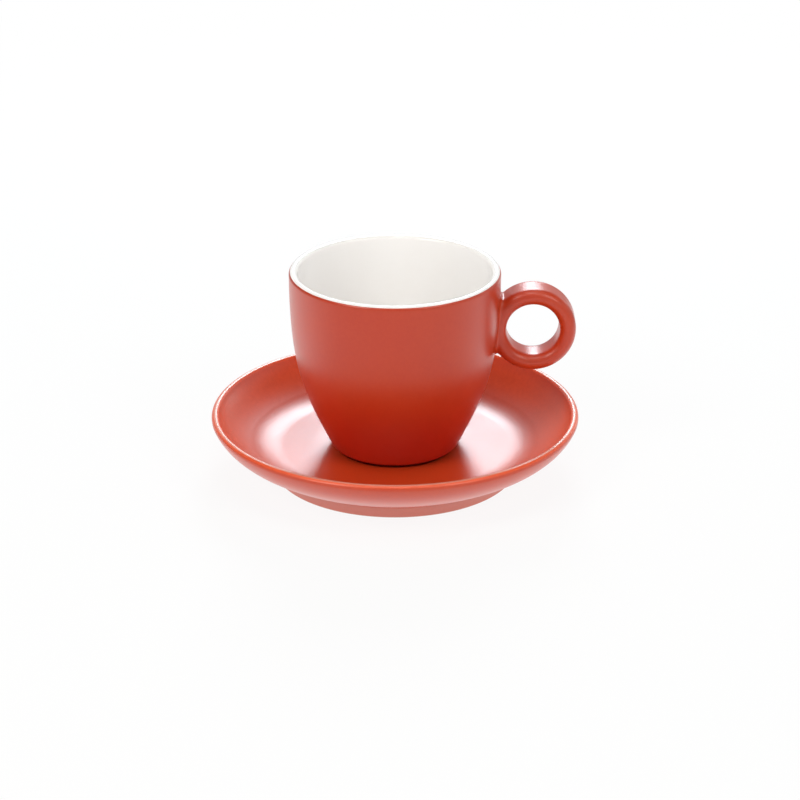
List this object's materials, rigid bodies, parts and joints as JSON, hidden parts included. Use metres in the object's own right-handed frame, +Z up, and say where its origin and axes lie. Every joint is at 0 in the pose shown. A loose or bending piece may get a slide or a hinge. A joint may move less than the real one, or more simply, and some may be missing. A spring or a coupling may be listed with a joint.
{
  "type": "latte cup with saucer",
  "caption": "Tapered ceramic latte cup with a round ring handle, red outside and white inside, standing in the seat of a deep round saucer that it lifts off.",
  "frame": {"origin": "centre of the saucer's foot ring, on the plane that it rests on", "axes": "+Z up along the common axis of saucer and cup, +X towards the handle"},
  "size_m": [0.16, 0.16, 0.0922],
  "materials": {
    "saucer_red_glaze": "satin terracotta red glaze",
    "cup_white_glaze": "gloss white glaze",
    "cup_red_glaze": "satin terracotta red glaze",
    "handle_red_glaze": "satin terracotta red glaze"
  },
  "bodies": {
    "saucer": {"saucer": "saucer_red_glaze"},
    "cup": {"cup_body": "cup_white_glaze", "cup_outer_glaze": "cup_red_glaze", "cup_handle": "handle_red_glaze"}
  },
  "joints": [
    {"name": "cup_lift", "type": "slide", "parent": "saucer", "child": "cup", "axis": [0, 0, 1], "range_m": [0, 0.12]}
  ]
}
